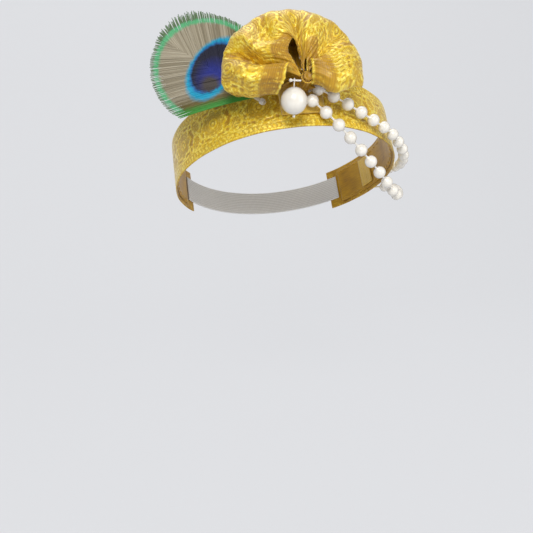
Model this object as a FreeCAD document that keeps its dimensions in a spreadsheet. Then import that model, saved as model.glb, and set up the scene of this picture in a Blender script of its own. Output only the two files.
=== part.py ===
import FreeCAD, Part
import Sketcher
import math
import os

# A gold ribbon headpiece: brocade band, gathered rosette, trimmed feather eye and two swags of pearls.
# Frame: millimetres, +Z up as worn, origin at the middle of the head opening, front of the band
# toward -Y. The band is a loop whose axis leans back, so that it sits high on the brow and low behind.

Vector = FreeCAD.Vector
Rotation = FreeCAD.Rotation
Placement = FreeCAD.Placement

doc = FreeCAD.newDocument("headpiece")

# Driving dimensions, in millimetres and degrees
dimensions = {
    "band_outer_radius": 63.7,
    "band_low_edge": -1.3,
    "band_width": 26.2,
    "band_tilt": 26.0,
    "ribbon_thickness": 0.8,
    "ribbon_half_angle": 130.0,
    "layer_gap": 0.15,
    "lining_thickness": 0.7,
    "lining_inset": 2.2,
    "lining_setback_angle": 8.0,
    "elastic_thickness": 1.1,
    "elastic_width": 15.0,
    "elastic_tail_angle": 6.0,
    "stitch_radius": 0.3,
    "stitch_length": 2.0,
    "tack_inset_angle": 2.6,
    "stitch_run_inset_angle": 3.0,
    "stitch_edge": 1.2,
    "felt_stitch_inset_angle": 1.2,
    "felt_stitch_pitch": 4.1,
    "felt_thickness": 1.5,
    "inner_felt_thickness": 1.0,
    "felt_height": 19.0,
    "inner_felt_height": 17.6,
    "felt_half_angle": 9.0,
    "rosette_angle": -99.6,
    "rosette_height": 14.5,
    "rosette_standoff": 10.8,
    "rosette_yaw": 9.0,
    "rosette_lean": 15.0,
    "fan_across": -5.0,
    "fan_up": 1.0,
    "fan_radius": 32.5,
    "fan_half_depth": 8.8,
    "fan_root_depth": 2.5,
    "fan_start_angle": 18.0,
    "fan_sweep_angle": 172.0,
    "heart_across": -1.5,
    "heart_up": 3.4,
    "heart_radius": 4.2,
    "heart_half_depth": 3.6,
    "neck_radius": 2.2,
    "neck_front": 6.0,
    "neck_back": 8.1,
    "gather_thread_radius": 0.35,
    "thread_clearance": 0.1,
    "feather_angle": -118.2,
    "feather_height": 15.3,
    "feather_standoff": 3.3,
    "feather_yaw": 20.0,
    "feather_lean": 18.0,
    "feather_roll": 57.0,
    "vane_thickness": 0.6,
    "vane_length": 56.0,
    "vane_half_width": 28.5,
    "vane_widest_at": 26.0,
    "quill_radius": 0.9,
    "quill_tip_radius": 0.3,
    "quill_length": 52.0,
    "quill_tail": 5.0,
    "wrap_radius": 0.25,
    "wrap_inset": 1.0,
    "wrap_pitch": 0.65,
    "large_pearl_radius": 6.0,
    "large_pearl_bore": 0.5,
    "pearl_drop": 8.7,
    "pearl_across": -6.1,
    "pearl_up": -1.7,
    "pearl_out": 4.7,
    "loop_thread_radius": 0.25,
    "hanger_radius": 0.4,
    "hanger_clearance": 0.1,
    "hanger_overhang": 1.6,
    "hanger_knot_radius": 0.8,
    "loop_knot_radius": 0.65,
    "strand_thread_radius": 0.45,
    "strand_pearl_radius": 3.0,
    "strand_pearl_pitch": 8.4,
    "first_pearl_at": 4.9,
    "knot_radius": 0.9,
}
sheet = doc.addObject("Spreadsheet::Sheet", "sizes")
for row, (name, size) in enumerate(dimensions.items(), 1):
    sheet.set(f"A{row}", name)
    sheet.set(f"B{row}", str(size))
    sheet.setAlias(f"B{row}", name)
doc.recompute()

tack_stitches = 5
lining_stitches_per_edge = 20
felt_stitches_per_side = 4
wrap_turns = 3


def size(name):
    return float(sheet.get(name))


# The pearl swags follow these points, front knot first, row frame
upper_route = [
    (-7.4, -52.9, 42.7),
    (-5.4, -57.2, 43.6),
    (0.2, -57.8, 41.0),
    (8.6, -57.2, 37.7),
    (16.2, -56.6, 34.3),
    (23.8, -55.6, 31.0),
    (31.4, -53.4, 28.0),
    (38.8, -50.8, 25.0),
    (45.4, -46.4, 21.6),
    (51.6, -41.6, 18.2),
    (56.9, -35.5, 15.0),
    (61.4, -28.4, 12.2),
    (64.9, -20.4, 10.0),
    (67.2, -11.8, 8.4),
    (68.2, -2.8, 7.4),
    (67.8, 6.0, 6.6),
    (64.9, 12.9, 6.2),
]
lower_route = [
    (-10.4, -54.3, 39.3),
    (-9.2, -57.9, 38.4),
    (-4.4, -59.0, 34.6),
    (1.3, -60.6, 29.6),
    (7.2, -61.2, 24.0),
    (13.4, -61.0, 18.4),
    (19.6, -60.2, 12.9),
    (26.0, -58.4, 7.6),
    (32.2, -56.0, 2.6),
    (38.4, -52.8, -2.2),
    (44.4, -48.4, -6.2),
    (49.8, -42.2, -7.4),
    (54.6, -35.2, -6.6),
    (58.8, -27.8, -5.6),
    (62.4, -20.0, -4.8),
    (65.2, -11.8, -4.3),
    (67.0, -3.4, -4.0),
    (67.6, 5.0, -4.0),
    (65.3, 11.8, -4.2),
]

band_turn = Rotation(Vector(1, 0, 0), -size("band_tilt"))
band_place = Placement(Vector(0, 0, 0), band_turn)


def on_band(height, radius, angle):
    """Row-frame point at a height along the band's axis, a radius and an angle from +X."""
    turn = math.radians(angle)
    return band_turn.multVec(Vector(radius * math.cos(turn), radius * math.sin(turn), height))


def facing(yaw, lean, roll=0.0):
    """Turn whose Z looks out of the brow, yawed to the wearer's right and leaned back."""
    upright = Rotation(Vector(0, 0, 1), -yaw) * Rotation(Vector(1, 0, 0), 90.0 - lean)
    return upright * Rotation(Vector(0, 0, 1), roll)


nodes = []


def keep(part, label, place=None):
    """Give a finished sub-part its name and place."""
    part.Label = label
    if place is not None:
        part.Placement = place
    nodes.append(part)
    return part


def plane_of(body, role):
    return next(f for f in body.Origin.OriginFeatures if f.Role == role)


def new_sketch(body, name, role):
    sketch = body.newObject("Sketcher::SketchObject", name)
    sketch.AttachmentSupport = [(plane_of(body, role), "")]
    sketch.MapMode = "FlatFace"
    return sketch


def bind(sketch, kind, line, point, expression, start=1.0):
    """Tie one coordinate of a line's end to the sheet, from a start value."""
    index = sketch.addConstraint(Sketcher.Constraint(kind, line, point, start))
    sketch.setExpression(f"Constraints[{index}]", expression)


def rectangle(sketch, inner, outer, low, high):
    """Closed rectangle between two radii and two heights, all given as expressions."""
    corners = [Vector(1, 1, 0), Vector(2, 1, 0), Vector(2, 2, 0), Vector(1, 2, 0)]
    for start, end in zip(corners, corners[1:] + corners[:1]):
        sketch.addGeometry(Part.LineSegment(start, end), False)
    for line in range(4):
        sketch.addConstraint(Sketcher.Constraint("Coincident", line, 2, (line + 1) % 4, 1))
    for line, kind in ((0, "Horizontal"), (1, "Vertical"), (2, "Horizontal"), (3, "Vertical")):
        sketch.addConstraint(Sketcher.Constraint(kind, line))
    bind(sketch, "DistanceX", 0, 1, inner)
    bind(sketch, "DistanceX", 1, 1, outer)
    bind(sketch, "DistanceY", 0, 1, low)
    bind(sketch, "DistanceY", 2, 1, high)


def hoop(label, inner, outer, low, high, start, sweep):
    """Part of a flat hoop about the band's axis: radii and heights as expressions, angles in degrees."""
    body = doc.addObject("PartDesign::Body", label)
    sketch = new_sketch(body, label + "_section", "XZ_Plane")
    rectangle(sketch, inner, outer, low, high)
    turned = body.newObject("PartDesign::Revolution", label + "_turned")
    turned.Profile = sketch
    turned.ReferenceAxis = (sketch, ["V_Axis"])
    turned.setExpression("Angle", sweep)
    body.Tip = turned
    place = Placement(Vector(0, 0, 0), band_turn * Rotation(Vector(0, 0, 1), start))
    return keep(body, label, place)


band_middle = "(sizes.band_low_edge + sizes.band_width / 2)"
band_high = "(sizes.band_low_edge + sizes.band_width)"
under_ribbon = "(sizes.band_outer_radius - sizes.ribbon_thickness - sizes.layer_gap)"
under_lining = f"({under_ribbon} - sizes.lining_thickness - sizes.layer_gap)"
ribbon_start = -90.0 - size("ribbon_half_angle")


def front_band():
    hoop(
        "front_band",
        "sizes.band_outer_radius - sizes.ribbon_thickness",
        "sizes.band_outer_radius",
        "sizes.band_low_edge",
        band_high,
        ribbon_start,
        "2 * sizes.ribbon_half_angle",
    )


def band_lining():
    hoop(
        "band_lining",
        f"{under_ribbon} - sizes.lining_thickness",
        under_ribbon,
        "sizes.band_low_edge + sizes.lining_inset",
        f"{band_high} - sizes.lining_inset",
        ribbon_start + size("lining_setback_angle"),
        "2 * (sizes.ribbon_half_angle - sizes.lining_setback_angle)",
    )


def back_elastic():
    hoop(
        "back_elastic",
        f"{under_ribbon} - sizes.elastic_thickness",
        under_ribbon,
        f"{band_middle} - sizes.elastic_width / 2",
        f"{band_middle} + sizes.elastic_width / 2",
        -ribbon_start - 180.0 - size("elastic_tail_angle"),
        "360 - 2 * sizes.ribbon_half_angle + 2 * sizes.elastic_tail_angle",
    )


def felt_patches():
    half = size("felt_half_angle")
    hoop(
        "rosette_base_felt",
        "sizes.band_outer_radius + sizes.layer_gap",
        "sizes.band_outer_radius + sizes.layer_gap + sizes.felt_thickness",
        "sizes.rosette_height - sizes.felt_height / 2",
        "sizes.rosette_height + sizes.felt_height / 2",
        size("rosette_angle") - half,
        "2 * sizes.felt_half_angle",
    )
    hoop(
        "inner_felt_patch",
        f"{under_lining} - sizes.inner_felt_thickness",
        under_lining,
        f"{band_middle} - sizes.inner_felt_height / 2",
        f"{band_middle} + sizes.inner_felt_height / 2",
        size("rosette_angle") - half,
        "2 * sizes.felt_half_angle",
    )
    hoop(
        "rear_knot_felt",
        f"{under_lining} - sizes.inner_felt_thickness",
        under_lining,
        f"{band_middle} - sizes.inner_felt_height / 2",
        f"{band_middle} + sizes.inner_felt_height / 2",
        rear_angle() - half / 2,
        "sizes.felt_half_angle",
    )


def rear_angle():
    """Angle round the band at which the swags' rear knots sit."""
    ends = [band_turn.inverted().multVec(Vector(*route[-1])) for route in (upper_route, lower_route)]
    return sum(math.degrees(math.atan2(end.y, end.x)) for end in ends) / 2


def thread_rod(name, middle, along, length="sizes.stitch_length", radius="sizes.stitch_radius"):
    """Straight piece of thread centred on a point."""
    rod = doc.addObject("Part::Cylinder", name)
    rod.setExpression("Radius", radius)
    rod.setExpression("Height", length)
    turn = Rotation(Vector(0, 0, 1), along)
    doc.recompute()
    rod.Placement = Placement(middle - turn.multVec(Vector(0, 0, rod.Height.Value / 2)), turn)
    return rod


def group(label, members):
    joined = doc.addObject("Part::Compound", label)
    joined.Links = members
    return keep(joined, label)


def bar_tacks():
    """A row of upright stitches at each end of the ribbon, through ribbon and elastic."""
    radius = size("band_outer_radius") + size("stitch_radius") + size("layer_gap")
    middle = size("band_low_edge") + size("band_width") / 2
    pitch = size("elastic_width") / tack_stitches
    for side, label in ((-1, "left_bar_tack"), (1, "right_bar_tack")):
        angle = -90.0 + side * (size("ribbon_half_angle") - size("tack_inset_angle"))
        stitches = []
        for step in range(tack_stitches):
            height = middle + (step - (tack_stitches - 1) / 2) * pitch
            at = on_band(height, radius, angle)
            stitches.append(thread_rod(f"{label}_{step}", at, band_turn.multVec(Vector(0, 0, 1))))
        group(label, stitches)


def lining_stitches():
    """Running stitches that hold the lining to the ribbon, just inside its two edges."""
    radius = (
        size("band_outer_radius")
        - size("ribbon_thickness")
        - 2 * size("layer_gap")
        - size("lining_thickness")
        - size("stitch_radius")
    )
    edge = size("lining_inset") + size("stitch_edge")
    low = size("band_low_edge") + edge
    high = size("band_low_edge") + size("band_width") - edge
    lining_half_angle = size("ribbon_half_angle") - size("lining_setback_angle")
    span = 2 * (lining_half_angle - size("stitch_run_inset_angle"))
    for label, height in (("lower_lining_stitches", low), ("upper_lining_stitches", high)):
        stitches = []
        for step in range(lining_stitches_per_edge):
            angle = -90.0 - span / 2 + span * step / (lining_stitches_per_edge - 1)
            at = on_band(height, radius, angle)
            tangent = on_band(height, radius, angle + 1.0) - on_band(height, radius, angle - 1.0)
            stitches.append(thread_rod(f"{label}_{step}", at, tangent))
        group(label, stitches)


def felt_stitches():
    """Overcast stitches round the rosette's felt base."""
    radius = (
        size("band_outer_radius")
        + 2 * size("layer_gap")
        + size("felt_thickness")
        + size("stitch_radius")
    )
    stitches = []
    for side in (-1, 1):
        inset = size("felt_half_angle") - size("felt_stitch_inset_angle")
        angle = size("rosette_angle") + side * inset
        for step in range(felt_stitches_per_side):
            offset = (step - (felt_stitches_per_side - 1) / 2) * size("felt_stitch_pitch")
            height = size("rosette_height") + offset
            at = on_band(height, radius, angle)
            along = band_turn.multVec(Vector(0, 0, 1))
            stitches.append(thread_rod(f"felt_stitch_{side + 1}_{step}", at, along))
    group("base_felt_stitches", stitches)


rosette_turn = facing(size("rosette_yaw"), size("rosette_lean"))
rosette_at = on_band(
    size("rosette_height"),
    size("band_outer_radius") + size("rosette_standoff"),
    size("rosette_angle"),
)
rosette_place = Placement(rosette_at, rosette_turn)


def rosette_fan():
    """Closed outer shape of the gathered ribbon: thin at the gather, deep and round at its rim."""
    body = doc.addObject("PartDesign::Body", "rosette_fan")
    sketch = new_sketch(body, "fan_section", "XZ_Plane")
    root = size("fan_root_depth")
    depth = size("fan_half_depth")
    rim = size("fan_radius")
    deepest = rim - depth
    low_root = Vector(0, -root, 0)
    low_rim = Vector(deepest, -depth, 0)
    high_rim = Vector(deepest, depth, 0)
    high_root = Vector(0, root, 0)
    sketch.addGeometry(Part.LineSegment(low_root, low_rim), False)
    sketch.addGeometry(Part.Arc(low_rim, Vector(rim, 0, 0), high_rim), False)
    sketch.addGeometry(Part.LineSegment(high_rim, high_root), False)
    sketch.addGeometry(Part.LineSegment(high_root, low_root), False)
    sketch.addConstraint(Sketcher.Constraint("Coincident", 0, 2, 1, 1))
    sketch.addConstraint(Sketcher.Constraint("Coincident", 1, 2, 2, 1))
    sketch.addConstraint(Sketcher.Constraint("Coincident", 2, 2, 3, 1))
    sketch.addConstraint(Sketcher.Constraint("Coincident", 3, 2, 0, 1))
    sketch.addConstraint(Sketcher.Constraint("PointOnObject", 0, 1, -2))
    sketch.addConstraint(Sketcher.Constraint("PointOnObject", 1, 3, -1))
    sketch.addConstraint(Sketcher.Constraint("Symmetric", 0, 1, 3, 1, -1))
    sketch.addConstraint(Sketcher.Constraint("Symmetric", 0, 2, 2, 1, -1))
    bind(sketch, "DistanceY", 3, 1, "sizes.fan_root_depth", root)
    bind(sketch, "DistanceX", 1, 2, "sizes.fan_radius - sizes.fan_half_depth", deepest)
    bind(sketch, "DistanceY", 1, 2, "sizes.fan_half_depth", depth)
    index = sketch.addConstraint(Sketcher.Constraint("Radius", 1, depth))
    sketch.setExpression(f"Constraints[{index}]", "sizes.fan_half_depth")
    turned = body.newObject("PartDesign::Revolution", "fan_turned")
    turned.Profile = sketch
    turned.ReferenceAxis = (sketch, ["V_Axis"])
    turned.setExpression("Angle", "sizes.fan_sweep_angle")
    body.Tip = turned
    centre = Vector(size("fan_across"), size("fan_up"), 0)
    body.Placement = Placement(centre, Rotation(Vector(0, 0, 1), size("fan_start_angle")))
    return body


def rosette():
    """One ribbon gathered at its inner edge: its fan, its heart and a narrow pinched neck."""
    fan = rosette_fan()
    neck = doc.addObject("Part::Cylinder", "rosette_neck")
    neck.setExpression("Radius", "sizes.neck_radius")
    neck.setExpression("Height", "sizes.neck_front + sizes.neck_back")
    neck.setExpression(".Placement.Base.z", "-sizes.neck_back")
    heart = doc.addObject("Part::Cylinder", "rosette_heart")
    heart.setExpression("Radius", "sizes.heart_radius")
    heart.setExpression("Height", "2 * sizes.heart_half_depth")
    heart.setExpression(".Placement.Base.x", "sizes.heart_across")
    heart.setExpression(".Placement.Base.y", "sizes.heart_up")
    heart.setExpression(".Placement.Base.z", "-sizes.heart_half_depth")
    joined = doc.addObject("Part::MultiFuse", "rosette_joined")
    joined.Shapes = [fan, neck, heart]
    groove = doc.addObject("Part::Torus", "gather_groove")
    groove.setExpression("Radius1", "sizes.neck_radius + sizes.gather_thread_radius")
    groove.setExpression("Radius2", "sizes.gather_thread_radius + sizes.thread_clearance")
    groove.setExpression(".Placement.Base.z", "sizes.neck_front - 4 * sizes.gather_thread_radius")
    grooved = doc.addObject("Part::Cut", "rosette_ribbon")
    grooved.Base = joined
    grooved.Tool = groove
    keep(grooved, "rosette_ribbon", rosette_place)


def gather_thread():
    ring = doc.addObject("Part::Torus", "gather_thread")
    ring.setExpression("Radius1", "sizes.neck_radius + sizes.gather_thread_radius")
    ring.setExpression("Radius2", "sizes.gather_thread_radius")
    up = Vector(0, 0, size("neck_front") - 4 * size("gather_thread_radius"))
    keep(ring, "gather_thread", rosette_place * Placement(up, Rotation()))


feather_at = on_band(
    size("feather_height"),
    size("band_outer_radius") + size("feather_standoff"),
    size("feather_angle"),
)
feather_turn = facing(size("feather_yaw"), size("feather_lean"), size("feather_roll"))
feather_place = Placement(feather_at, feather_turn)


def feather_vane():
    """Trimmed eye: two straight flanks that open from the quill into one round top."""
    body = doc.addObject("PartDesign::Body", "feather_vane")
    sketch = new_sketch(body, "vane_outline", "XY_Plane")
    half = size("vane_half_width")
    widest = size("vane_widest_at")
    tip = size("vane_length")
    sketch.addGeometry(Part.LineSegment(Vector(0, 0, 0), Vector(half, widest, 0)), False)
    arc = Part.Arc(Vector(half, widest, 0), Vector(0, tip, 0), Vector(-half, widest, 0))
    sketch.addGeometry(arc, False)
    sketch.addGeometry(Part.LineSegment(Vector(-half, widest, 0), Vector(0, 0, 0)), False)
    sketch.addConstraint(Sketcher.Constraint("Coincident", 0, 1, -1, 1))
    sketch.addConstraint(Sketcher.Constraint("Coincident", 2, 2, 0, 1))
    sketch.addConstraint(Sketcher.Constraint("Coincident", 0, 2, 1, 1))
    sketch.addConstraint(Sketcher.Constraint("Coincident", 1, 2, 2, 1))
    sketch.addConstraint(Sketcher.Constraint("Symmetric", 1, 1, 1, 2, -2))
    bind(sketch, "DistanceX", 0, 2, "sizes.vane_half_width", half)
    bind(sketch, "DistanceY", 0, 2, "sizes.vane_widest_at", widest)
    rise = "(sizes.vane_length - sizes.vane_widest_at)"
    radius = f"({rise} * {rise} + sizes.vane_half_width * sizes.vane_half_width) / (2 * {rise})"
    index = sketch.addConstraint(Sketcher.Constraint("Radius", 1, arc.toShape().Curve.Radius))
    sketch.setExpression(f"Constraints[{index}]", radius)
    pad = body.newObject("PartDesign::Pad", "vane_sheet")
    pad.Profile = sketch
    pad.setExpression("Length", "sizes.vane_thickness")
    body.Tip = pad
    keep(body, "feather_vane", feather_place)


def feather_quill():
    """Tapered shaft behind the vane, its cut end bound down to the band."""
    shaft = doc.addObject("Part::Cone", "feather_quill")
    shaft.setExpression("Radius1", "sizes.quill_radius")
    shaft.setExpression("Radius2", "sizes.quill_tip_radius")
    shaft.setExpression("Height", "sizes.quill_length + sizes.quill_tail")
    behind = -(size("quill_radius") + size("layer_gap"))
    start = Vector(0, -size("quill_tail"), behind)
    keep(shaft, "feather_quill", feather_place * Placement(start, Rotation(Vector(1, 0, 0), -90)))


def quill_wraps():
    """Turns of thread round the cut end of the quill."""
    turns = []
    behind = -(size("quill_radius") + size("layer_gap"))
    for step in range(wrap_turns):
        wrap = doc.addObject("Part::Torus", f"quill_wrap_{step}")
        wrap.setExpression("Radius1", "sizes.quill_radius + sizes.wrap_radius + sizes.thread_clearance")
        wrap.setExpression("Radius2", "sizes.wrap_radius")
        along = -size("quill_tail") + size("wrap_inset") + step * size("wrap_pitch")
        local = Placement(Vector(0, along, behind), Rotation(Vector(1, 0, 0), -90))
        wrap.Placement = feather_place * local
        turns.append(wrap)
    group("quill_wraps", turns)


pivot = rosette_place.multVec(Vector(size("pearl_across"), size("pearl_up"), size("pearl_out")))
across = rosette_turn.multVec(Vector(1, 0, 0))


def pearl_hanger():
    """Stiffened thread bar from the gather, with an end knot, on which the large pearl's loop turns."""
    start = -(size("neck_radius") + 2 * size("gather_thread_radius") + size("thread_clearance"))
    reach = size("pearl_across") - size("hanger_overhang")
    bar = doc.addObject("Part::Cylinder", "hanger_bar")
    bar.setExpression("Radius", "sizes.hanger_radius")
    bar.Height = start - reach
    bar.Placement = Placement(Vector(reach, 0, 0), Rotation(Vector(0, 1, 0), 90))
    knot = doc.addObject("Part::Sphere", "hanger_knot")
    knot.setExpression("Radius", "sizes.hanger_knot_radius")
    knot.Placement = Placement(Vector(reach, 0, 0), Rotation())
    joined = doc.addObject("Part::MultiFuse", "pearl_hanger")
    joined.Shapes = [bar, knot]
    level = Placement(Vector(0, size("pearl_up"), size("pearl_out")), Rotation())
    keep(joined, "pearl_hanger", rosette_place * level)


def large_pearl():
    ball = doc.addObject("Part::Sphere", "large_pearl_ball")
    ball.setExpression("Radius", "sizes.large_pearl_radius")
    bore = doc.addObject("Part::Cylinder", "large_pearl_drilling")
    bore.setExpression("Radius", "sizes.large_pearl_bore")
    bore.setExpression("Height", "2 * sizes.large_pearl_radius + 2")
    bore.setExpression(".Placement.Base.z", "-sizes.large_pearl_radius - 1")
    drilled = doc.addObject("Part::Cut", "large_pearl")
    drilled.Base = ball
    drilled.Tool = bore
    keep(drilled, "large_pearl", Placement(pivot - Vector(0, 0, size("pearl_drop")), Rotation()))


def pearl_loop():
    """Thread through the large pearl: ring on the hanger, stem, and a knot under the pearl."""
    ring = doc.addObject("Part::Torus", "loop_ring")
    ring_radius = "sizes.hanger_radius + sizes.hanger_clearance + sizes.loop_thread_radius"
    ring.setExpression("Radius1", ring_radius)
    ring.setExpression("Radius2", "sizes.loop_thread_radius")
    ring.Placement = Placement(Vector(0, 0, 0), Rotation(Vector(0, 0, 1), across))
    doc.recompute()
    top = -ring.Radius1.Value
    foot = -size("pearl_drop") - size("large_pearl_radius") - 2 * size("layer_gap")
    stem = doc.addObject("Part::Cylinder", "loop_stem")
    stem.setExpression("Radius", "sizes.loop_thread_radius")
    stem.Height = top - foot
    stem.Placement = Placement(Vector(0, 0, foot), Rotation())
    knot = doc.addObject("Part::Sphere", "loop_knot")
    knot.setExpression("Radius", "sizes.loop_knot_radius")
    knot.Placement = Placement(Vector(0, 0, foot - size("loop_knot_radius") / 2), Rotation())
    joined = doc.addObject("Part::MultiFuse", "pearl_loop")
    joined.Shapes = [ring, stem, knot]
    keep(joined, "pearl_loop", Placement(pivot, Rotation()))


def route_edges(points):
    """Straight runs joined by tangent arcs, each arc as large as its two runs allow."""
    points = [Vector(*p) for p in points]
    edges = []
    radii = []
    at = points[0]
    for before, corner, after in zip(points, points[1:], points[2:]):
        first = (corner - before).normalize()
        second = (after - corner).normalize()
        turn = math.acos(max(-1.0, min(1.0, first.dot(second))))
        reach = 0.45 * min((corner - before).Length, (after - corner).Length)
        radius = reach / math.tan(turn / 2)
        start = corner - first * reach
        end = corner + second * reach
        inward = (second - first).normalize()
        centre = corner + inward * (radius / math.cos(turn / 2))
        edges.append(Part.LineSegment(at, start).toShape())
        edges.append(Part.Arc(start, centre - inward * radius, end).toShape())
        radii.append(radius)
        at = end
    edges.append(Part.LineSegment(at, points[-1]).toShape())
    return edges, radii


def point_along(edges, distance):
    for edge in edges:
        if distance <= edge.Length:
            return edge.valueAt(edge.getParameterByLength(distance))
        distance -= edge.Length
    return None


def strand(name, points):
    """One swag: its thread, the pearls moulded along it, and a knot at each end."""
    edges, radii = route_edges(points)
    length = sum(edge.Length for edge in edges)
    line = doc.addObject("Part::Feature", name + "_line")
    line.Shape = Part.Wire(edges)
    section = doc.addObject("Part::Circle", name + "_section")
    section.setExpression("Radius", "sizes.strand_thread_radius")
    heading = Rotation(Vector(0, 0, 1), edges[0].tangentAt(edges[0].FirstParameter))
    section.Placement = Placement(Vector(*points[0]), heading)
    thread = doc.addObject("Part::Sweep", name + "_thread")
    thread.Sections = [section]
    thread.Spine = (line, [])
    thread.Solid = True
    thread.Frenet = False
    keep(thread, name + "_thread")
    doc.recompute()
    expected = math.pi * size("strand_thread_radius") ** 2 * length
    print(name, "length", round(length, 1), "radii", [round(r) for r in radii],
          "volume share", round(thread.Shape.Volume / expected, 4))
    pearls = []
    distance = size("first_pearl_at")
    while distance < length - size("strand_pearl_radius") - size("knot_radius"):
        pearl = doc.addObject("Part::Sphere", f"{name}_pearl_{len(pearls)}")
        pearl.setExpression("Radius", "sizes.strand_pearl_radius")
        pearl.Placement = Placement(point_along(edges, distance), Rotation())
        pearls.append(pearl)
        distance += size("strand_pearl_pitch")
    print(name, "pearls", len(pearls))
    group(name + "_pearls", pearls)
    knots = []
    for end, at in enumerate((points[0], points[-1])):
        knot = doc.addObject("Part::Sphere", f"{name}_knot_{end}")
        knot.setExpression("Radius", "sizes.knot_radius")
        knot.Placement = Placement(Vector(*at), Rotation())
        knots.append(knot)
    group(name + "_knots", knots)


front_band()
band_lining()
back_elastic()
felt_patches()
bar_tacks()
lining_stitches()
felt_stitches()
rosette()
gather_thread()
feather_vane()
feather_quill()
quill_wraps()
pearl_hanger()
large_pearl()
pearl_loop()
strand("upper_strand", upper_route)
strand("lower_strand", lower_route)

doc.recompute()
failed = [o.Label for o in doc.Objects if {"Invalid", "Error"} & set(o.State)]
failed += [part.Label for part in nodes if part.Shape.isNull() or not part.Shape.isValid()]
if failed:
    raise RuntimeError(f"these did not build: {failed}")

os.makedirs("parts", exist_ok=True)
for part in nodes:
    part.Shape.exportStep(f"parts/{part.Label}.step")
print("pivot", [round(c, 3) for c in pivot], "across", [round(c, 4) for c in across])
print(len(nodes), "nodes written")
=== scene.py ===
import math

import bpy
import numpy as np
from mathutils import Matrix, Vector


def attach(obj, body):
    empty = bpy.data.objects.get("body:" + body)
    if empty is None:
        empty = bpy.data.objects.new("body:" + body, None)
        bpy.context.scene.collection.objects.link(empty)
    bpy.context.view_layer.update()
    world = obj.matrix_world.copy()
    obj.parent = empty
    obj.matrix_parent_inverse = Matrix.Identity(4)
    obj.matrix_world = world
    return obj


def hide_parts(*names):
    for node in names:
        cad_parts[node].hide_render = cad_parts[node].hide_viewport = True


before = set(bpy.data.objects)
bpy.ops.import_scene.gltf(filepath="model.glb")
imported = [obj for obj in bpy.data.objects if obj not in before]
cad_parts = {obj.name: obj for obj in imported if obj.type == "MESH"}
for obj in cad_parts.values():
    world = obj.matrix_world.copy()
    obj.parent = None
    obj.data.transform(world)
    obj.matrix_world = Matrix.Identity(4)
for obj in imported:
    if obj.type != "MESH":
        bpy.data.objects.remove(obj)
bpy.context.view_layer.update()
scene = bpy.context.scene
mm = 0.001
wavePeriod = 0.314  # length of one wave of a Wave Texture whose scale is 1
print("frame loaded,", len(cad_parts), "nodes")


# ---- small helpers

def linearColour(code):
    channels = [int(code[i:i + 2], 16) / 255 for i in (1, 3, 5)]
    return [c / 12.92 if c <= 0.04045 else ((c + 0.055) / 1.055) ** 2.4 for c in channels] + [1.0]


def addNode(tree, kind, inputs=None, **settings):
    # an input is a socket to link, a colour as its code, or a plain value
    node = tree.nodes.new(kind)
    for name, value in settings.items():
        setattr(node, name, value)
    for key, value in (inputs or {}).items():
        if isinstance(value, bpy.types.NodeSocket):
            tree.links.new(value, node.inputs[key])
        elif isinstance(value, str) and value.startswith("#"):
            node.inputs[key].default_value = linearColour(value)
        else:
            node.inputs[key].default_value = value
    return node


def newMaterial(name, roughness, **constants):
    material = bpy.data.materials.new(name)
    material.use_nodes = True
    tree = material.node_tree
    shader = tree.nodes["Principled BSDF"]
    shader.inputs["Roughness"].default_value = roughness
    for key, value in constants.items():
        shader.inputs[key.replace("_", " ")].default_value = value
    return material, tree, shader


def paintSurface(tree, shader, colour, height, strength, depth):
    # base colour from one socket, relief from another; depth in millimetres
    bump = addNode(tree, "ShaderNodeBump", {"Strength": strength, "Distance": depth * mm, "Height": height})
    tree.links.new(colour, shader.inputs["Base Color"])
    tree.links.new(bump.outputs["Normal"], shader.inputs["Normal"])


def newPiece(name, data):
    piece = bpy.data.objects.new(name, data)
    scene.collection.objects.link(piece)
    return piece


def meshPiece(name, vertices, faces):
    mesh = bpy.data.meshes.new(name)
    mesh.from_pydata(vertices, [], faces)
    return newPiece(name, mesh)


def smoothCoat(piece, material):
    # smooth faces, all of one material
    piece.data.polygons.foreach_set("use_smooth", [True] * len(piece.data.polygons))
    piece.data.materials.append(material)


def finishPiece(piece, body, slot, *nodes):
    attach(piece, body)
    if nodes:
        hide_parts(*nodes)
    return piece


def evaluatedMesh(piece):
    bpy.context.view_layer.update()
    return bpy.data.meshes.new_from_object(piece.evaluated_get(bpy.context.evaluated_depsgraph_get()))


def runLengths(line):
    # each point's distance from the start, along the line
    return np.concatenate([[0.0], np.cumsum(np.linalg.norm(np.diff(line, axis=0), axis=1))])


def placesAt(distances, run, line):
    return np.stack([np.interp(distances, run, line[:, axis]) for axis in range(3)], 1)


# ---- camera first, then the cords

camera = {
    "place": (-0.103, -0.2817, 0.0036), "aim": (0.3039, 0.9354, -0.1805), "lens": 33.77, "sensor": 36.0,
}


def makeCamera():
    data = bpy.data.cameras.new("studioCamera")
    data.lens = camera["lens"]
    data.sensor_width = camera["sensor"]
    data.clip_start = 0.01
    piece = newPiece("studioCamera", data)
    piece.location = camera["place"]
    piece.rotation_euler = Vector(camera["aim"]).to_track_quat("-Z", "Y").to_euler()
    scene.camera = piece


makeCamera()
print("camera placed")


# Lacquered plastic pearl: a hard clear coat over a milky body, with painted shade that greys it a little
# towards its rim
pearl = {
    "body": "#f3efe6", "shade": "#e6dfd0", "rim": "#cfc8bd", "rimShadeBlend": 0.35, "coat": 0.7, "coatRough": 0.07,
    "blotch": 2.4 * mm, "swirl": 0.5 * mm, "relief": 0.05, "reliefStrength": 0.06,
}


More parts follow.
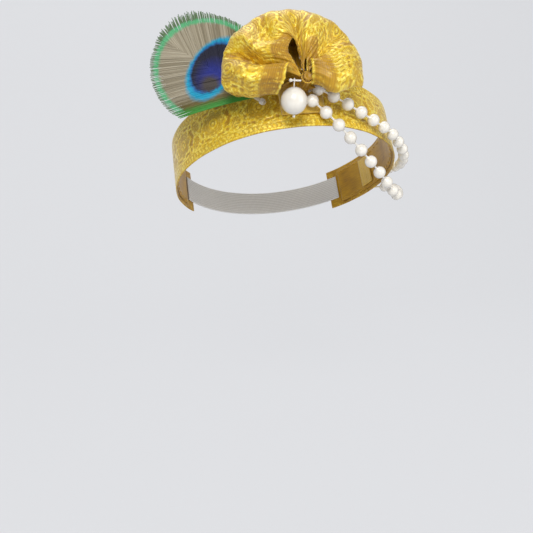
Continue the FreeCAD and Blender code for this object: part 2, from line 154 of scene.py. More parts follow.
def makePearlMaterial():
    material, tree, shader = newMaterial(
        "lacquered plastic pearl", 0.22, Coat_Weight=pearl["coat"], Coat_Roughness=pearl["coatRough"])
    place = addNode(tree, "ShaderNodeTexCoord").outputs["Object"]
    cloud = addNode(
        tree, "ShaderNodeTexNoise", {"Vector": place, "Scale": 1 / pearl["blotch"], "Detail": 3.0})
    body = addNode(
        tree, "ShaderNodeMix", {0: cloud.outputs["Fac"], 6: pearl["shade"], 7: pearl["body"]},
        data_type="RGBA")
    # painted shade: the colour turns greyer where the surface faces away from the camera, at the pearl's rim
    rim = addNode(tree, "ShaderNodeLayerWeight", {"Blend": pearl["rimShadeBlend"]})
    rimShadeTint = addNode(
        tree, "ShaderNodeMix", {0: rim.outputs["Facing"], 6: body.outputs[2], 7: pearl["rim"]},
        data_type="RGBA")
    swirl = addNode(
        tree, "ShaderNodeTexNoise", {"Vector": place, "Scale": 1 / pearl["swirl"], "Detail": 2.0})
    paintSurface(
        tree, shader, rimShadeTint.outputs[2], swirl.outputs["Fac"], pearl["reliefStrength"], pearl["relief"])
    return material


# Nylon link between moulded beads, and polyester sewing thread; the twist is drawn coarse enough to show
thread = {
    "white": ("#d9d4c8", "#f3f0ea"), "gold": ("#a87708", "#dcb533"), "link": ("#dad6cc", "#efece5"),
    "twist": 0.5 * mm, "slant": (0.6, 0.5, 0.7), "relief": 0.08,
}


def makeThreadMaterial(name, colours, roughness):
    material, tree, shader = newMaterial(name, roughness, Sheen_Weight=0.2)
    place = addNode(tree, "ShaderNodeTexCoord").outputs["Object"]
    slant = addNode(tree, "ShaderNodeMapping", {"Vector": place, "Rotation": thread["slant"]})
    strand = addNode(
        tree, "ShaderNodeTexWave",
        {"Vector": slant.outputs[0], "Scale": wavePeriod / thread["twist"], "Distortion": 0.6})
    tone = addNode(
        tree, "ShaderNodeMix", {0: strand.outputs["Fac"], 6: colours[0], 7: colours[1]}, data_type="RGBA")
    paintSurface(tree, shader, tone.outputs[2], strand.outputs["Fac"], 0.4, thread["relief"])
    return material


pearlMaterial = makePearlMaterial()
linkMaterial = makeThreadMaterial("moulded nylon link", thread["link"], 0.45)
whiteThread = makeThreadMaterial("white polyester thread", thread["white"], 0.6)
goldThread = makeThreadMaterial("gold polyester thread", thread["gold"], 0.5)


# ---- geometry node trees for what repeats

def newTree(name, sockets):
    tree = bpy.data.node_groups.new(name, "GeometryNodeTree")
    for label, kind in sockets.items():
        tree.interface.new_socket(label, in_out="INPUT", socket_type="NodeSocket" + kind)
    tree.interface.new_socket("Geometry", in_out="OUTPUT", socket_type="NodeSocketGeometry")
    return tree, addNode(tree, "NodeGroupInput").outputs


def endTree(tree, shape, material):
    # real geometry, smooth, in its material
    real = addNode(tree, "GeometryNodeRealizeInstances", {0: shape})
    smooth = addNode(tree, "GeometryNodeSetShadeSmooth", {0: real.outputs[0]})
    painted = addNode(tree, "GeometryNodeSetMaterial", {0: smooth.outputs[0], "Material": material})
    addNode(tree, "NodeGroupOutput", {0: painted.outputs[0]})
    return tree


def makeBeadTree():
    # a copy of one bead on each point, turned along the point's heading
    tree, given = newTree("beadsOnPoints", {"Points": "Geometry", "Bead": "Object", "Material": "Material"})
    heading = addNode(
        tree, "GeometryNodeInputNamedAttribute", {"Name": "heading"}, data_type="FLOAT_VECTOR")
    turn = addNode(tree, "FunctionNodeAlignRotationToVector", {"Vector": heading.outputs[0]}, axis="Z")
    bead = addNode(tree, "GeometryNodeObjectInfo", {"Object": given["Bead"]})
    copies = addNode(
        tree, "GeometryNodeInstanceOnPoints",
        {"Points": given["Points"], "Instance": bead.outputs["Geometry"], "Rotation": turn.outputs[0]})
    return endTree(tree, copies.outputs[0], given["Material"])


def makeStrandTree():
    # a tapered strand from each point's root, past its bend, to its tip
    tree, given = newTree("taperedStrands", {
        "Points": "Geometry", "Half width": "Float", "Flatness": "Float", "Tip share": "Float",
        "Taper from": "Float", "Steps": "Int", "Material": "Material"})
    root, bend, tip = [
        addNode(tree, "GeometryNodeInputNamedAttribute", {"Name": label}, data_type="FLOAT_VECTOR").outputs[0]
        for label in ("root", "bend", "tip")]
    straight = addNode(tree, "GeometryNodeCurvePrimitiveLine", {"Start": (0, 0, 0), "End": (1, 0, 0)})
    divided = addNode(
        tree, "GeometryNodeResampleCurve", {"Curve": straight.outputs[0], "Count": given["Steps"]})
    copies = addNode(
        tree, "GeometryNodeInstanceOnPoints", {"Points": given["Points"], "Instance": divided.outputs[0]})
    real = addNode(tree, "GeometryNodeRealizeInstances", {0: copies.outputs[0]})
    share = addNode(tree, "GeometryNodeSplineParameter").outputs["Factor"]
    first = addNode(tree, "ShaderNodeMix", {0: share, 4: root, 5: bend}, data_type="VECTOR")
    second = addNode(tree, "ShaderNodeMix", {0: share, 4: bend, 5: tip}, data_type="VECTOR")
    whole = addNode(
        tree, "ShaderNodeMix", {0: share, 4: first.outputs[1], 5: second.outputs[1]}, data_type="VECTOR")
    bent = addNode(
        tree, "GeometryNodeSetPosition", {"Geometry": real.outputs[0], "Position": whole.outputs[1]})
    taper = addNode(tree, "ShaderNodeMapRange", {
        "Value": share, "From Min": given["Taper from"], "From Max": 1.0, "To Min": 1.0,
        "To Max": given["Tip share"]})
    width = addNode(
        tree, "ShaderNodeMath", {0: taper.outputs[0], 1: given["Half width"]}, operation="MULTIPLY")
    level = addNode(tree, "GeometryNodeSetCurveNormal", {0: bent.outputs[0]}, mode="Z_UP")
    ring = addNode(tree, "GeometryNodeCurvePrimitiveCircle", {"Resolution": 6, "Radius": 1.0})
    scale = addNode(tree, "ShaderNodeCombineXYZ", {"X": 1.0, "Y": given["Flatness"], "Z": 1.0})
    section = addNode(
        tree, "GeometryNodeTransform", {"Geometry": ring.outputs[0], "Scale": scale.outputs[0]})
    solid = addNode(tree, "GeometryNodeCurveToMesh", {
        "Curve": level.outputs[0], "Profile Curve": section.outputs[0], "Scale": width.outputs[0],
        "Fill Caps": True})
    return endTree(tree, solid.outputs[0], given["Material"])


def pointsPiece(name, attributes):
    # vertices at the first attribute's places, each carrying every attribute
    places = next(iter(attributes.values()))
    piece = meshPiece(name, [tuple(place) for place in places], [])
    for label, values in attributes.items():
        layer = piece.data.attributes.new(label, "FLOAT_VECTOR", "POINT")
        layer.data.foreach_set("vector", np.array(values, float).ravel())
    return piece


def runTree(piece, tree, values):
    modifier = piece.modifiers.new(tree.name, "NODES")
    modifier.node_group = tree
    for item in tree.interface.items_tree:
        if item.name in values:
            modifier[item.identifier] = values[item.name]
    mesh = evaluatedMesh(piece)
    piece.modifiers.clear()
    piece.data = mesh


beadTree = makeBeadTree()
strandTree = makeStrandTree()


def lathe(name, profile, steps):
    # a closed turned shape about Z; the profile runs from the lower pole to the upper one
    vertices = [(0, 0, profile[0][1])]
    for radius, height in profile[1:-1]:
        for step in range(steps):
            turn = 2 * math.pi * step / steps
            vertices.append((radius * math.cos(turn), radius * math.sin(turn), height))
    vertices.append((0, 0, profile[-1][1]))
    last = len(vertices) - 1
    faces = []
    for step in range(steps):
        other = (step + 1) % steps
        faces.append((0, 1 + other, 1 + step))
        faces.append((last, last - steps + step, last - steps + other))
        for ring in range(len(profile) - 3):
            low = 1 + ring * steps
            faces.append((low + step, low + other, low + steps + other, low + steps + step))
    return meshPiece(name, vertices, faces)


# ---- pearl swags: one moulded string each, from the gather to the band's side

swag = {
    "diameter": 0.9 * mm, "pearlRadius": 3.0 * mm, "collarRadius": 0.75 * mm, "pitch": 8.4 * mm,
    "firstAt": 4.9 * mm, "endClear": 3.9 * mm, "poleReach": 1.14, "poleShare": 0.75, "profileSteps": 12,
}
upperRoute = [
    (-0.0074, -0.0529, 0.0427), (-0.0054, -0.0572, 0.0436), (0.0002, -0.0578, 0.0410),
    (0.0086, -0.0572, 0.0377), (0.0162, -0.0566, 0.0343), (0.0238, -0.0556, 0.0310),
    (0.0314, -0.0534, 0.0280), (0.0388, -0.0508, 0.0250), (0.0454, -0.0464, 0.0216),
    (0.0516, -0.0416, 0.0182), (0.0569, -0.0355, 0.0150), (0.0614, -0.0284, 0.0122),
    (0.0649, -0.0204, 0.0100), (0.0672, -0.0118, 0.0084), (0.0682, -0.0028, 0.0074),
    (0.0678, 0.0060, 0.0066), (0.0649, 0.0129, 0.0062),
]
lowerRoute = [
    (-0.0104, -0.0543, 0.0393), (-0.0092, -0.0579, 0.0384), (-0.0044, -0.0590, 0.0346),
    (0.0013, -0.0606, 0.0296), (0.0072, -0.0612, 0.0240), (0.0134, -0.0610, 0.0184),
    (0.0196, -0.0602, 0.0129), (0.0260, -0.0584, 0.0076), (0.0322, -0.0560, 0.0026),
    (0.0384, -0.0528, -0.0022), (0.0444, -0.0484, -0.0062), (0.0498, -0.0422, -0.0074),
    (0.0546, -0.0352, -0.0066), (0.0588, -0.0278, -0.0056), (0.0624, -0.0200, -0.0048),
    (0.0652, -0.0118, -0.0043), (0.0670, -0.0034, -0.0040), (0.0676, 0.0050, -0.0040),
    (0.0653, 0.0118, -0.0042),
]


def pearlProfile():
    # a ball whose poles are drawn out a little into the moulded link
    radius = swag["pearlRadius"]
    pole = radius * swag["poleReach"]
    neck = swag["collarRadius"] * swag["poleShare"]
    start = math.asin(swag["collarRadius"] / radius)
    profile = [(0.0, -pole), (neck, -pole)]
    for step in range(swag["profileSteps"] + 1):
        turn = start + (math.pi - 2 * start) * step / swag["profileSteps"]
        profile.append((radius * math.sin(turn), -radius * math.cos(turn)))
    return profile + [(neck, pole), (0.0, pole)]


def cordCurve(name, route):
    curve = bpy.data.curves.new(name, "CURVE")
    curve.dimensions = "3D"
    curve.resolution_u = 10
    spline = curve.splines.new("NURBS")
    spline.points.add(len(route) - 1)
    for point, place in zip(spline.points, route):
        point.co = (*place, 1.0)
    spline.order_u = 3
    spline.use_endpoint_u = True
    piece = newPiece(name, curve)
    centre = np.array([vertex.co for vertex in evaluatedMesh(piece).vertices])
    curve.bevel_depth = swag["diameter"] / 2
    curve.bevel_resolution = 3
    curve.use_fill_caps = True
    curve.materials.append(linkMaterial)
    return piece, centre


def makeSwag(body, route, bead):
    name = body.split("_")[0] + "Swag"
    piece, centre = cordCurve(name + "Thread", route)
    run = runLengths(centre)
    length = float(run[-1])
    distances = np.arange(swag["firstAt"], length - swag["endClear"], swag["pitch"])
    places = placesAt(distances, run, centre)
    ahead = placesAt(distances + 0.5 * mm, run, centre)
    pearls = pointsPiece(name + "Pearls", {"root": places, "heading": ahead - places})
    runTree(pearls, beadTree, {"Bead": bead, "Material": pearlMaterial})
    finishPiece(piece, body, "pearl_string", body + "_thread")
    finishPiece(pearls, body, "pearl_lacquer", body + "_pearls")
    print(body, "hung,", round(length / mm, 1), "mm,", len(distances), "pearls")


beadPattern = lathe("beadPattern", pearlProfile(), 24)
makeSwag("upper_strand", upperRoute, beadPattern)
makeSwag("lower_strand", lowerRoute, beadPattern)
bpy.data.objects.remove(beadPattern)


# ---- the woven ribbon: its figure as a height, its cloth as a material

ribbon = {
    "width": 44.0, "middle": 22.0, "repeat": 25.0, "relief": 0.16 * mm,
    "flowerRadius": 6.1, "petalDepth": 1.7, "petals": 8, "ringRadius": 2.3, "hatchPitch": 1.25,
    "leafFrom": 4.7, "leafHalf": (2.7, 4.3), "veinPitch": 1.1, "scrollAt": (4.4, 6.4), "scrollRadius": 1.5,
    "vineAt": 8.5, "seedPitch": (2.6, 2.2), "fieldHalf": 9.3,
    "borders": (11.2, 32.8), "beadPitch": 2.3, "railOffset": 1.5, "ropeOffset": 1.95, "ropePitch": 1.5,
}


def softLine(distance, half, soft=0.35):
    return np.clip((half + soft - np.abs(distance)) / soft, 0.0, 1.0)


def stripes(distance, pitch):
    return 0.5 + 0.5 * np.cos(2 * np.pi * distance / pitch)


def wovenFigure(along, across):
    # 0 on the satin ground, 1 on the raised metallic yarn; both coordinates in millimetres
    repeat = ribbon["repeat"]
    y = across - ribbon["middle"]
    x = along % repeat - repeat / 2
    distance = np.hypot(x, y)
    turn = np.arctan2(y, x)
    petal = ribbon["flowerRadius"] + ribbon["petalDepth"] * np.abs(np.cos(ribbon["petals"] / 2 * turn))
    inside = (distance < petal) & (distance > ribbon["ringRadius"])
    flower = np.maximum.reduce([
        softLine(distance - petal, 0.55), softLine(distance - ribbon["ringRadius"], 0.4),
        0.6 * stripes(distance, ribbon["hatchPitch"]) * inside, softLine(distance, 0.8)])
    # slanted leaves, scrolls and a waving vine between the flowers
    side = (along + repeat / 2) % repeat - repeat / 2
    rise = np.abs(y) - ribbon["leafFrom"]
    halfWidth, halfLength = ribbon["leafHalf"]
    leafX = (side * 0.86 + rise * 0.5) / halfWidth
    leafY = (rise * 0.86 - side * 0.5) / halfLength
    leafSize = np.hypot(leafX * (1 + 0.35 * leafY), leafY)
    veins = stripes(leafY * halfLength + np.abs(leafX) * 2.0, ribbon["veinPitch"])
    leaf = np.maximum(softLine((leafSize - 1.0) * 3.2, 0.5), 0.65 * veins * (leafSize < 0.92))
    scrollSide, scrollRise = ribbon["scrollAt"]
    curl = np.hypot(np.abs(side) - scrollSide, np.abs(y) - scrollRise)
    scroll = softLine(curl - ribbon["scrollRadius"], 0.3)
    vine = softLine(np.abs(y) - ribbon["vineAt"] - 0.5 * np.cos(4 * np.pi * along / repeat), 0.25)
    seedAlong, seedAcross = ribbon["seedPitch"]
    seeds = softLine(
        np.hypot((along % seedAlong) - seedAlong / 2, (across % seedAcross) - seedAcross / 2), 0.35) * 0.3
    figure = np.maximum.reduce([flower, leaf, scroll, vine, seeds]) * (np.abs(y) < ribbon["fieldHalf"])
    # each border: a chain of beads between two rails, with a rope along its outer side
    for at in ribbon["borders"]:
        offset = across - at
        slanted = (along + 0.45 * offset) / ribbon["beadPitch"] % 1 - 0.5
        beads = softLine(slanted * ribbon["beadPitch"], 0.62) * softLine(offset, 0.75)
        rails = softLine(np.abs(offset) - ribbon["railOffset"], 0.18)
        outer = offset - math.copysign(ribbon["ropeOffset"], at - ribbon["middle"])
        rope = softLine(outer, 0.35) * (0.35 + 0.65 * stripes(along - 0.8 * outer, ribbon["ropePitch"]))
        figure = np.maximum.reduce([figure, beads, 0.85 * rails, rope])
    # a bright line along both edges: partly the ribbon's woven selvage rail, partly a painted highlight on
    # its folded edges
    selvageRailAndHighlight = softLine(ribbon["middle"] - np.abs(y), 0.8)
    return np.maximum(figure, 0.9 * selvageRailAndHighlight)


# Polyester jacquard ribbon: satin floats with fine streaks, and flat metallic yarn whose glitter is painted
# in as random bright glints and pale specks
brocade = {
    "deep": "#8d6206", "ground": "#c2930c", "yarnLow": "#e4bb14", "paintedGlintYarn": "#ffec6a",
    "streak": 0.7, "streakStretch": 0.12, "ribPitch": 0.8, "glint": 0.75, "cloud": 14.0, "wear": 1.4,
    "speckAbove": 0.86, "speckShare": 0.35, "groundRough": 0.44, "yarnRough": 0.3, "yarnMetal": 0.3,
    "relief": 0.12, "reliefStrength": 0.55,
}


def makeClothMaterial(name, figured):
    material, tree, shader = newMaterial(
        name, 0.42, Sheen_Weight=0.25, Sheen_Roughness=0.4, Specular_IOR_Level=0.5)
    cloth = addNode(tree, "ShaderNodeUVMap", uv_map="weave").outputs["UV"]
    drawn = addNode(
        tree, "ShaderNodeMapping", {"Vector": cloth, "Scale": (brocade["streakStretch"], 1.0, 1.0)})
    streak = addNode(
        tree, "ShaderNodeTexNoise",
        {"Vector": drawn.outputs[0], "Scale": 1 / brocade["streak"], "Detail": 2.0})
    rib = addNode(
        tree, "ShaderNodeTexWave",
        {"Vector": cloth, "Scale": wavePeriod / brocade["ribPitch"], "Distortion": 0.3}, bands_direction="Y")
    cloud = addNode(
        tree, "ShaderNodeTexNoise", {"Vector": cloth, "Scale": 1 / brocade["cloud"], "Detail": 2.0})
    ribs = addNode(
        tree, "ShaderNodeMapRange", {"Value": rib.outputs["Fac"], "To Min": 0.45, "To Max": 0.75})
    lines = addNode(
        tree, "ShaderNodeMath", {0: streak.outputs["Fac"], 1: ribs.outputs[0]}, operation="MULTIPLY")
    light = addNode(
        tree, "ShaderNodeMath", {0: lines.outputs[0], 1: cloud.outputs["Fac"]}, operation="ADD")
    spread = addNode(
        tree, "ShaderNodeMapRange", {"Value": light.outputs[0], "From Min": 0.5, "From Max": 1.0})
    ground = addNode(
        tree, "ShaderNodeMix", {0: spread.outputs[0], 6: brocade["deep"], 7: brocade["ground"]},
        data_type="RGBA")
    colour = ground.outputs[2]
    height = lines.outputs[0]
    if figured:
        figure = addNode(tree, "ShaderNodeAttribute", attribute_name="figure").outputs["Fac"]
        # painted glints: each small cell of the metallic yarn gets a paler or brighter yellow at random,
        # standing in for the yarn's sparkle
        cells = addNode(tree, "ShaderNodeTexVoronoi", {"Vector": cloth, "Scale": 1 / brocade["glint"]})
        glint = addNode(tree, "ShaderNodeSeparateColor", {0: cells.outputs["Color"]})
        fine = addNode(
            tree, "ShaderNodeTexNoise",
            {"Vector": cloth, "Scale": brocade["wear"], "Detail": 3.0, "Roughness": 0.7})
        paintedGlint = addNode(
            tree, "ShaderNodeMapRange", {"Value": glint.outputs[0], "From Min": 0.25, "From Max": 0.95})
        yarn = addNode(
            tree, "ShaderNodeMix", {0: paintedGlint.outputs[0], 6: brocade["yarnLow"], 7: brocade["paintedGlintYarn"]},
            data_type="RGBA")
        broken = addNode(
            tree, "ShaderNodeMapRange", {"Value": fine.outputs["Fac"], "From Min": 0.2, "From Max": 0.42})
        cover = addNode(tree, "ShaderNodeMath", {0: figure, 1: broken.outputs[0]}, operation="MULTIPLY")
        # painted glint specks: a few cells lighten towards the yarn colour, on the satin ground too
        speck = addNode(
            tree, "ShaderNodeMath", {0: glint.outputs[1], 1: brocade["speckAbove"]}, operation="GREATER_THAN")
        specked = addNode(
            tree, "ShaderNodeMath", {0: speck.outputs[0], 1: brocade["speckShare"], 2: cover.outputs[0]},
            operation="MULTIPLY_ADD", use_clamp=True)
        mixed = addNode(
            tree, "ShaderNodeMix", {0: specked.outputs[0], 6: colour, 7: yarn.outputs[2]}, data_type="RGBA")
        colour = mixed.outputs[2]
        rough = addNode(tree, "ShaderNodeMapRange", {
            "Value": cover.outputs[0], "To Min": brocade["groundRough"], "To Max": brocade["yarnRough"]})
        metal = addNode(
            tree, "ShaderNodeMath", {0: cover.outputs[0], 1: brocade["yarnMetal"]}, operation="MULTIPLY")
        raised = addNode(
            tree, "ShaderNodeMath", {0: glint.outputs[0], 1: cover.outputs[0], 2: height},
            operation="MULTIPLY_ADD")
        height = raised.outputs[0]
        tree.links.new(rough.outputs[0], shader.inputs["Roughness"])
        tree.links.new(metal.outputs[0], shader.inputs["Metallic"])
    paintSurface(tree, shader, colour, height, brocade["reliefStrength"], brocade["relief"])
    return material


brocadeMaterial = makeClothMaterial("polyester jacquard ribbon", True)
satinMaterial = makeClothMaterial("polyester satin ribbon", False)


def closedSheet(name, places, normals, thickness, along, across, figure, material):
    # a cloth with two faces and a rounded edge, its figure raised on the front; the grids are rows by
    # columns, with places in metres and the rest in millimetres
    thickness = thickness * mm
    rows, columns = places.shape[:2]
    front = places + normals * (thickness / 2 + ribbon["relief"] * figure)[..., None]
    back = places - normals * (thickness / 2)
    index = np.arange(rows * columns).reshape(rows, columns)
    quads = np.stack([index[:-1, :-1], index[1:, :-1], index[1:, 1:], index[:-1, 1:]], -1).reshape(-1, 4)
    edge = np.concatenate([index[0, :-1], index[:-1, -1], index[-1, :0:-1], index[:0:-1, 0]])
    inside = np.concatenate([index[1, :-1], index[:-1, -2], index[-2, :0:-1], index[:0:-1, 1]])
    flat = places.reshape(-1, 3)
    away = flat[edge] - flat[inside]
    away /= np.linalg.norm(away, axis=1)[:, None] + 1e-12
    rim = flat[edge] + away * thickness * 0.45
    count = rows * columns
    rimIndex = 2 * count + np.arange(len(edge))
    nextEdge = np.roll(edge, -1)
    nextRim = np.roll(rimIndex, -1)
    upper = np.stack([edge, nextEdge, nextRim, rimIndex], -1)
    lower = np.stack([rimIndex, nextRim, nextEdge + count, edge + count], -1)
    a, b, c = (front.reshape(-1, 3)[quads[:, i]] for i in (0, 1, 3))
    outward = np.einsum("ij,ij->i", np.cross(b - a, c - a), normals.reshape(-1, 3)[quads[:, 0]])
    if outward.sum() < 0:
        quads, upper, lower = quads[:, ::-1], upper[:, ::-1], lower[:, ::-1]
    faces = np.concatenate([quads, quads[:, ::-1] + count, upper, lower])
    vertices = np.concatenate([front.reshape(-1, 3), back.reshape(-1, 3), rim])
    piece = meshPiece(name, vertices.tolist(), faces.tolist())
    mesh = piece.data
    order = np.concatenate([np.arange(count), np.arange(count), edge])
    corner = np.zeros(len(mesh.loops), int)
    mesh.loops.foreach_get("vertex_index", corner)
    cloth = np.stack([along.ravel()[order], across.ravel()[order]], -1)
    mesh.uv_layers.new(name="weave").data.foreach_set("uv", cloth[corner].ravel())
    raised = np.concatenate([figure.ravel(), np.zeros(count + len(edge))])
    mesh.attributes.new("figure", "FLOAT", "POINT").data.foreach_set("value", raised)
    smoothCoat(piece, material)
    mesh.validate()
    return piece


# ---- band, lining, elastic and felt, all hoops about one leaning axis

band = {
    "tilt": -26.0, "radius": 63.7, "low": -1.3, "width": 26.2, "front": -90.0, "halfAngle": 130.0,
    "thickness": 0.8, "gap": 0.15, "step": 0.55, "ripple": 0.1,
}
lining = {"thickness": 0.7, "inset": 2.2, "setback": 8.0, "step": 1.2}
elastic = {"thickness": 1.1, "width": 15.0, "tail": 6.0, "ribPitch": 1.25, "ribDepth": 0.22, "step": 0.3}
felt = {
    "base": 1.5, "patch": 1.0, "nap": 0.15, "baseHeight": 19.0, "patchHeight": 17.6, "halfAngle": 9.0,
    "middle": 14.5, "at": -99.6, "step": 0.6,
}
bandTilt = np.array(Matrix.Rotation(math.radians(band["tilt"]), 3, "X"))
bandMiddle = band["low"] + band["width"] / 2


def onBand(height, radius, angle):
    turn = np.radians(angle)
    height, radius, turn = np.broadcast_arrays(height, radius, turn)
    return np.stack([radius * np.cos(turn), radius * np.sin(turn), height], -1) @ bandTilt.T * mm


def eachSide(middle, half):
    return middle - half, middle + half


def hoop(name, material, radius, thickness, heights, angles, step, swell=None, figured=False):
    # radius is the sheet's middle; heights and radii in millimetres, angles in degrees
    low, high = heights
    start, end = angles
    columns = max(4, int((high - low) / step))
    rows = max(4, int(math.radians(end - start) * radius / step))
    angle, height = np.meshgrid(np.linspace(start, end, rows), np.linspace(low, high, columns), indexing="ij")
    along = np.radians(angle - start) * radius
    across = height - (low + high) / 2 + ribbon["middle"]
    bulge = swell(along, height - low) if swell else 0.0
    places = onBand(height, radius + bulge, angle)
    normals = onBand(0.0 * height, 1.0, angle) / mm
    figure = wovenFigure(along, across) if figured else 0.0 * along
    return closedSheet(name, places, normals, thickness, along, across, figure, material)


def bandSwell(along, height):
    return band["ripple"] * (np.sin(along / 7.3) + 0.6 * np.sin(along / 2.9 + height / 5.0))


def makeBand():
    low, high = band["low"], band["low"] + band["width"]
    middle = band["radius"] - band["thickness"] / 2
    piece = hoop(
        "bandRibbon", brocadeMaterial, middle, band["thickness"], (low, high),
        eachSide(band["front"], band["halfAngle"]), band["step"], bandSwell, True)
    finishPiece(piece, "root", "gold_brocade", "front_band")
    under = band["radius"] - band["thickness"] - band["gap"] - lining["thickness"] / 2
    half = band["halfAngle"] - lining["setback"]
    inner = hoop(
        "liningRibbon", satinMaterial, under, lining["thickness"],
        (low + lining["inset"], high - lining["inset"]), eachSide(band["front"], half), lining["step"])
    finishPiece(inner, "root", "gold_satin", "band_lining")
    return piece


bandPiece = makeBand()
print("band and lining laid")


# Covered rubber elastic: knitted polyester ribs, matt, with painted shade greying its grooves a little
knit = {"groove": "#c4c0b8", "rib": "#f1efea", "stitch": 0.9, "relief": 0.2}


def makeElasticMaterial():
    material, tree, shader = newMaterial("knitted white elastic", 0.75, Sheen_Weight=0.35)
    cloth = addNode(tree, "ShaderNodeUVMap", uv_map="weave").outputs["UV"]
    rib = addNode(
        tree, "ShaderNodeTexWave", {"Vector": cloth, "Scale": wavePeriod / elastic["ribPitch"]},
        bands_direction="Y")
    loops = addNode(
        tree, "ShaderNodeTexWave",
        {"Vector": cloth, "Scale": wavePeriod / knit["stitch"], "Distortion": 1.5}, bands_direction="X")
    both = addNode(
        tree, "ShaderNodeMath", {0: rib.outputs["Fac"], 1: loops.outputs["Fac"]}, operation="MULTIPLY")
    # painted shade: darker where the ribs and loops sink, paler on their tops
    tone = addNode(
        tree, "ShaderNodeMix", {0: both.outputs[0], 6: knit["groove"], 7: knit["rib"]}, data_type="RGBA")
    paintSurface(tree, shader, tone.outputs[2], both.outputs[0], 0.6, knit["relief"])
    return material


# Pressed wool felt: no weave, a short tangled nap
nap = {"low": "#bd8d0e", "high": "#e9c53c", "grain": 0.45 * mm, "relief": 0.25}


def makeFeltMaterial():
    material, tree, shader = newMaterial("pressed wool felt", 0.9, Sheen_Weight=0.5, Sheen_Roughness=0.6)
    place = addNode(tree, "ShaderNodeTexCoord").outputs["Object"]
    fibres = addNode(tree, "ShaderNodeTexNoise", {
        "Vector": place, "Scale": 1 / nap["grain"], "Detail": 5.0, "Roughness": 0.7, "Distortion": 1.2})
    tone = addNode(
        tree, "ShaderNodeMix", {0: fibres.outputs["Fac"], 6: nap["low"], 7: nap["high"]}, data_type="RGBA")
    paintSurface(tree, shader, tone.outputs[2], fibres.outputs["Fac"], 0.8, nap["relief"])
    return material


def ribbed(along, height):
    return elastic["ribDepth"] / 2 * np.cos(2 * np.pi * height / elastic["ribPitch"])


def napped(along, height):
    return 0.07 * np.sin(along * 2.1 + 1.3 * np.sin(height * 1.7)) + 0.05 * np.sin(height * 2.9 + along)


def bandAngle(place):
    x, y, _ = np.array(place) @ bandTilt
    return math.degrees(math.atan2(y, x))


def makeElasticAndFelt():
    underRibbon = band["radius"] - band["thickness"] - band["gap"]
    start = band["front"] + band["halfAngle"] - elastic["tail"]
    end = start + 360.0 - 2 * band["halfAngle"] + 2 * elastic["tail"]
    low = bandMiddle - elastic["width"] / 2
    middle = underRibbon - elastic["thickness"] / 2
    piece = hoop(
        "backElastic", makeElasticMaterial(), middle, elastic["thickness"] - elastic["ribDepth"],
        (low, low + elastic["width"]), (start, end), elastic["step"], ribbed)
    finishPiece(piece, "root", "white_elastic", "back_elastic")
    material = makeFeltMaterial()
    half = felt["halfAngle"]
    radius = band["radius"] + band["gap"] + felt["base"] / 2
    low = felt["middle"] - felt["baseHeight"] / 2
    base = hoop(
        "rosetteFelt", material, radius, felt["base"] - felt["nap"], (low, low + felt["baseHeight"]),
        eachSide(felt["at"], half), felt["step"], napped)
    finishPiece(base, "root", "gold_felt", "rosette_base_felt")
    radius = underRibbon - lining["thickness"] - band["gap"] - felt["patch"] / 2
    low = bandMiddle - felt["patchHeight"] / 2
    rearAngle = sum(bandAngle(route[-1]) for route in (upperRoute, lowerRoute)) / 2
    patches = [
        ("innerFelt", "inner_felt_patch", felt["at"], half),
        ("rearFelt", "rear_knot_felt", rearAngle, half / 2)]
    for name, node, at, reach in patches:
        patch = hoop(
            name, material, radius, felt["patch"] - felt["nap"], (low, low + felt["patchHeight"]),
            eachSide(at, reach), felt["step"], napped)
        finishPiece(patch, "root", "gold_felt", node)


makeElasticAndFelt()
print("elastic and felt laid")


# ---- rosette: one ribbon gathered along its inner edge, its folds set one by one

